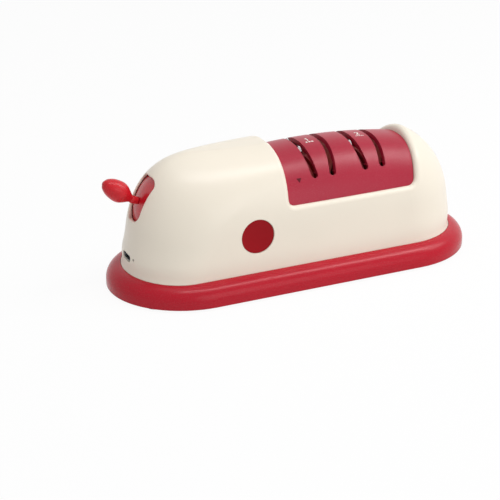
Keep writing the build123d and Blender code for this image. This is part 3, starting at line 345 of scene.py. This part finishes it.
def closed_bodies(name, bodies):
    """A mesh of closed bodies, each a row of rings that all have the same number of corners."""
    shape = bmesh.new()
    for rings in bodies:
        rows = [[shape.verts.new(corner) for corner in ring] for ring in rings]
        shape.faces.new(rows[0])
        shape.faces.new(rows[-1][::-1])
        for near, far in zip(rows, rows[1:]):
            for i in range(len(near)):
                shape.faces.new((near[i - 1], near[i], far[i], far[i - 1]))
    bmesh.ops.recalc_face_normals(shape, faces=shape.faces)
    mesh = bpy.data.meshes.new(name)
    shape.to_mesh(mesh)
    shape.free()
    return mesh


def make_tips(materials):
    """Gable-shaped tips in place of the plain plates, each at the highest corner of its plate."""
    low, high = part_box("guide_tips")
    between_stages = (low[0] + high[0]) / 2
    plates = {}              # the corners of each plate, by its stage and its side of the cover
    for vertex in NODES["guide_tips"].data.vertices:
        place = vertex.co
        plates.setdefault((place.x > between_stages, place.y > 0), []).append(place)
    bodies = []
    for places in plates.values():
        peak = max(places, key=lambda p: p.z)
        inward = -math.copysign(TIP_INWARD * MM, peak.y)
        ends = (min(p.y for p in places) + inward, max(p.y for p in places) + inward)
        bodies.append([[(peak.x + (TIP_BESIDE + x) * MM, y, peak.z + (TIP_HIGHER + z) * MM)
                        for x, z in TIP_OUTLINE] for y in ends])
    mesh = closed_bodies("slot_tips", bodies)
    tips = put_on_cover("slot_tips", mesh, materials["frosted_plastic"])
    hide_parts("guide_tips")


def make_cover_ribs(materials, surface):
    """A stiffening rib hangs under the cover between the two slots of each stage."""
    bodies = []
    for stage_x, _ in STAGE_PRINTS.values():
        left, right = (stage_x - RIB_THICK / 2) * MM, (stage_x + RIB_THICK / 2) * MM
        rings = []
        for i in range(RIB_STEPS + 1):
            y = RIB_HALF * (2 * i / RIB_STEPS - 1) * MM
            inner_side, _, _, _ = surface.ray_cast(Vector((stage_x * MM, y, 0.0)), UP)
            top, foot = inner_side.z + RIB_SINK * MM, inner_side.z - RIB_DEPTH * MM
            rings.append([(left, y, top), (right, y, top), (right, y, foot), (left, y, foot)])
        bodies.append(rings)
    mesh = closed_bodies("cover_ribs", bodies)
    put_on_cover("cover_ribs", mesh, materials["cover_plastic"])


# ---- print on the cover, in millimetres ----
PRINT_LIFT = 0.04            # so much it stands off the cover
PRINT_START = 20.0           # a print's corners are dropped on the cover from this far off
DIGIT_STROKE = 0.6
DIGITS = {
    "1": [(-0.75, 0.8), (-0.35, 1.1), (0.0, 1.5), (0.0, 0.5), (0.0, -0.5), (0.0, -1.5)],
    "2": [(-0.85, 0.75), (-0.75, 1.15), (-0.4, 1.45), (0.05, 1.5), (0.5, 1.35), (0.75, 0.95),
          (0.7, 0.5), (0.35, 0.0), (-0.2, -0.6), (-0.85, -1.3), (-0.2, -1.3), (0.4, -1.3),
          (0.95, -1.3)],
}
STAGE_PRINTS = {"1": (8.0, -1.2), "2": (35.4, -1.0)}    # x and y of each number's middle
GRIT_MARKS = {"1": (3, 1.0, 1.5), "2": (5, 0.6, 0.95)}  # how many squares, their side and spacing
GRIT_DROP = 2.9              # from a number to the row of squares under it
ARROW = (-5.8, 50.4)         # x and z of the arrow on the cover's front
ARROW_HALF = 1.3             # half its width
ARROW_HEIGHT = 1.9
ARROW_ROWS = 5               # rows of corners, so that it follows the curve


def ribbon(points, width):
    """Corners and faces of a stroke of even width along a line of points in a plane."""
    corners, faces = [], []
    for i, point in enumerate(points):
        before, after = points[max(i - 1, 0)], points[min(i + 1, len(points) - 1)]
        along = (Vector(after) - Vector(before)).normalized()
        aside = Vector((-along.y, along.x)) * width / 2
        corners += [Vector(point) + aside, Vector(point) - aside]
    for i in range(len(points) - 1):
        faces.append((2 * i, 2 * i + 1, 2 * i + 3, 2 * i + 2))
    return corners, faces


def grit_row(count, side, pitch):
    """A row of squares under a number: few and large for coarse, many and small for fine."""
    corners, faces = [], []
    for i in range(count):
        middle = (i - (count - 1) / 2) * pitch
        at = len(corners)
        for x, y in ((-1, -1), (1, -1), (1, 1), (-1, 1)):
            corners.append(Vector((middle + x * side / 2, y * side / 2 - GRIT_DROP)))
        faces.append((at, at + 1, at + 2, at + 3))
    return corners, faces


def arrow_head():
    """A triangle that points down, in rows that can follow a curved surface."""
    corners, faces = [], []
    for i in range(ARROW_ROWS):
        share = i / ARROW_ROWS
        half, height = ARROW_HALF * (1 - share), ARROW_HEIGHT * (0.5 - share)
        corners += [Vector((-half, height)), Vector((0, height)), Vector((half, height))]
    corners.append(Vector((0, -ARROW_HEIGHT / 2)))
    for i in range(ARROW_ROWS - 1):
        for j in (0, 1):
            at = 3 * i + j
            faces.append((at, at + 3, at + 4, at + 1))
    last, point = 3 * (ARROW_ROWS - 1), 3 * ARROW_ROWS
    faces += [(last, point, last + 1), (last + 1, point, last + 2)]
    return corners, faces


def print_on_cover(name, corners, faces, start, way, surface, material):
    """Lay flat faces on the cover: each corner's start is off the cover, and way leads to it."""
    places = []
    for corner in corners:
        hit, normal, _, _ = surface.ray_cast(start(corner), way)
        if normal.dot(way) > 0:
            normal = -normal
        places.append(hit + normal * PRINT_LIFT * MM)
    mesh = bpy.data.meshes.new(name)
    mesh.from_pydata(places, [], faces)
    put_on_cover(name, mesh, material)


def make_prints(materials, surface):
    above = CAD_BOX[1][2] + PRINT_START * MM
    for digit, (x, y) in STAGE_PRINTS.items():
        corners, faces = ribbon(DIGITS[digit], DIGIT_STROKE)
        row_corners, row_faces = grit_row(*GRIT_MARKS[digit])
        faces += [tuple(i + len(corners) for i in face) for face in row_faces]
        corners += row_corners
        print_on_cover(f"stage_number_{digit}", corners, faces,
                       lambda c: Vector(((x + c.x) * MM, (y + c.y) * MM, above)), -UP,
                       surface, materials["print_white"])
    front = CAD_BOX[0][1] - PRINT_START * MM
    x, z = ARROW
    corners, faces = arrow_head()
    print_on_cover("grip_arrow", corners, faces,
                   lambda c: Vector(((x + c.x) * MM, front, (z + c.y) * MM)), TO_THE_BACK,
                   surface, materials["print_dark"])


# ---- the room: the world and the floor are seen as white, whatever light they give ----
ROOM_LIGHT = 0.42            # the world's strength as a light
ROOM_WHITE = 1.0             # and as it is seen
FLOOR_REACH = 1.5
FLOOR_TONE = (0.9, 0.9, 0.9, 1)
FLOOR_GLOW_SHARE = 0.93      # what is seen of the floor: this much even white, the rest lit and shaded
LAMPS = {                    # place, aim and size in metres, power in watts
    "strip": dict(place=(0.2, -0.25, 0.8), aim=(0.2, 0.0, 0.03), size=(0.9, 0.14), power=2.9),
    "key": dict(place=(0.6, -0.2, 0.65), aim=(0.0, 0.0, 0.03), size=(0.45, 0.45), power=1.95),
    "front": dict(place=(0.2, -0.9, 0.3), aim=(0.0, 0.0, 0.03), size=(0.6, 0.5), power=1.2),
    "top": dict(place=(-0.05, 0.1, 0.8), aim=(0.0, 0.0, 0.03), size=(0.6, 0.3), power=0.4),
}


def seen(tree):
    """1 for a ray from the camera, also one mirrored or through something clear, and 0 for others."""
    path = tree.nodes.new("ShaderNodeLightPath")
    highest = path.outputs["Is Camera Ray"]
    for ray in ("Is Glossy Ray", "Is Transmission Ray"):
        either = tree.nodes.new("ShaderNodeMath")
        either.operation = "MAXIMUM"
        tree.links.new(highest, either.inputs[0])
        tree.links.new(path.outputs[ray], either.inputs[1])
        highest = either.outputs[0]
    return highest


def seen_or_not(tree, unseen, as_seen):
    """A value that is as_seen for rays that are seen, and unseen for the others."""
    value = tree.nodes.new("ShaderNodeMapRange")
    value.inputs["To Min"].default_value = unseen
    value.inputs["To Max"].default_value = as_seen
    tree.links.new(seen(tree), value.inputs["Value"])
    return value.outputs["Result"]


def make_room():
    world = bpy.data.worlds.new("room")
    bpy.context.scene.world = world
    world.use_nodes = True
    tree = world.node_tree
    shade = tree.nodes["Background"]
    shade.inputs["Color"].default_value = (1.0, 1.0, 1.0, 1.0)
    tree.links.new(seen_or_not(tree, ROOM_LIGHT, ROOM_WHITE), shade.inputs["Strength"])


def make_floor():
    mesh = bpy.data.meshes.new("floor")
    corners = [(x * FLOOR_REACH, y * FLOOR_REACH, 0) for x, y in ((-1, -1), (1, -1), (1, 1), (-1, 1))]
    mesh.from_pydata(corners, [], [(0, 1, 2, 3)])
    floor = bpy.data.objects.new("floor", mesh)
    bpy.context.collection.objects.link(floor)
    material = bpy.data.materials.new("floor")
    material.use_nodes = True
    tree = material.node_tree
    tree.nodes.clear()
    out = tree.nodes.new("ShaderNodeOutputMaterial")
    plain = tree.nodes.new("ShaderNodeBsdfDiffuse")
    plain.inputs["Color"].default_value = FLOOR_TONE
    glow = tree.nodes.new("ShaderNodeEmission")
    mix = tree.nodes.new("ShaderNodeMixShader")
    tree.links.new(seen_or_not(tree, 0.0, FLOOR_GLOW_SHARE), mix.inputs["Fac"])
    tree.links.new(plain.outputs["BSDF"], mix.inputs[1])
    tree.links.new(glow.outputs["Emission"], mix.inputs[2])
    tree.links.new(mix.outputs["Shader"], out.inputs["Surface"])
    mesh.materials.append(material)


def lamp(name, place, aim, size, power):
    data = bpy.data.lights.new(name, "AREA")
    data.shape = "RECTANGLE"
    data.size, data.size_y = size
    data.energy = power
    light = bpy.data.objects.new(name, data)
    bpy.context.collection.objects.link(light)
    light.location = place
    light.rotation_euler = (Vector(aim) - Vector(place)).to_track_quat("-Z", "Y").to_euler()


def make_lights():
    for name, values in LAMPS.items():
        lamp(name, **values)


make_camera()
finishes = make_materials()
dress(finishes)
cover = cover_surface()
make_tips(finishes)
make_cover_ribs(finishes, cover)
make_prints(finishes, cover)
make_room()
make_floor()
make_lights()
bpy.context.scene.view_settings.view_transform = "Standard"
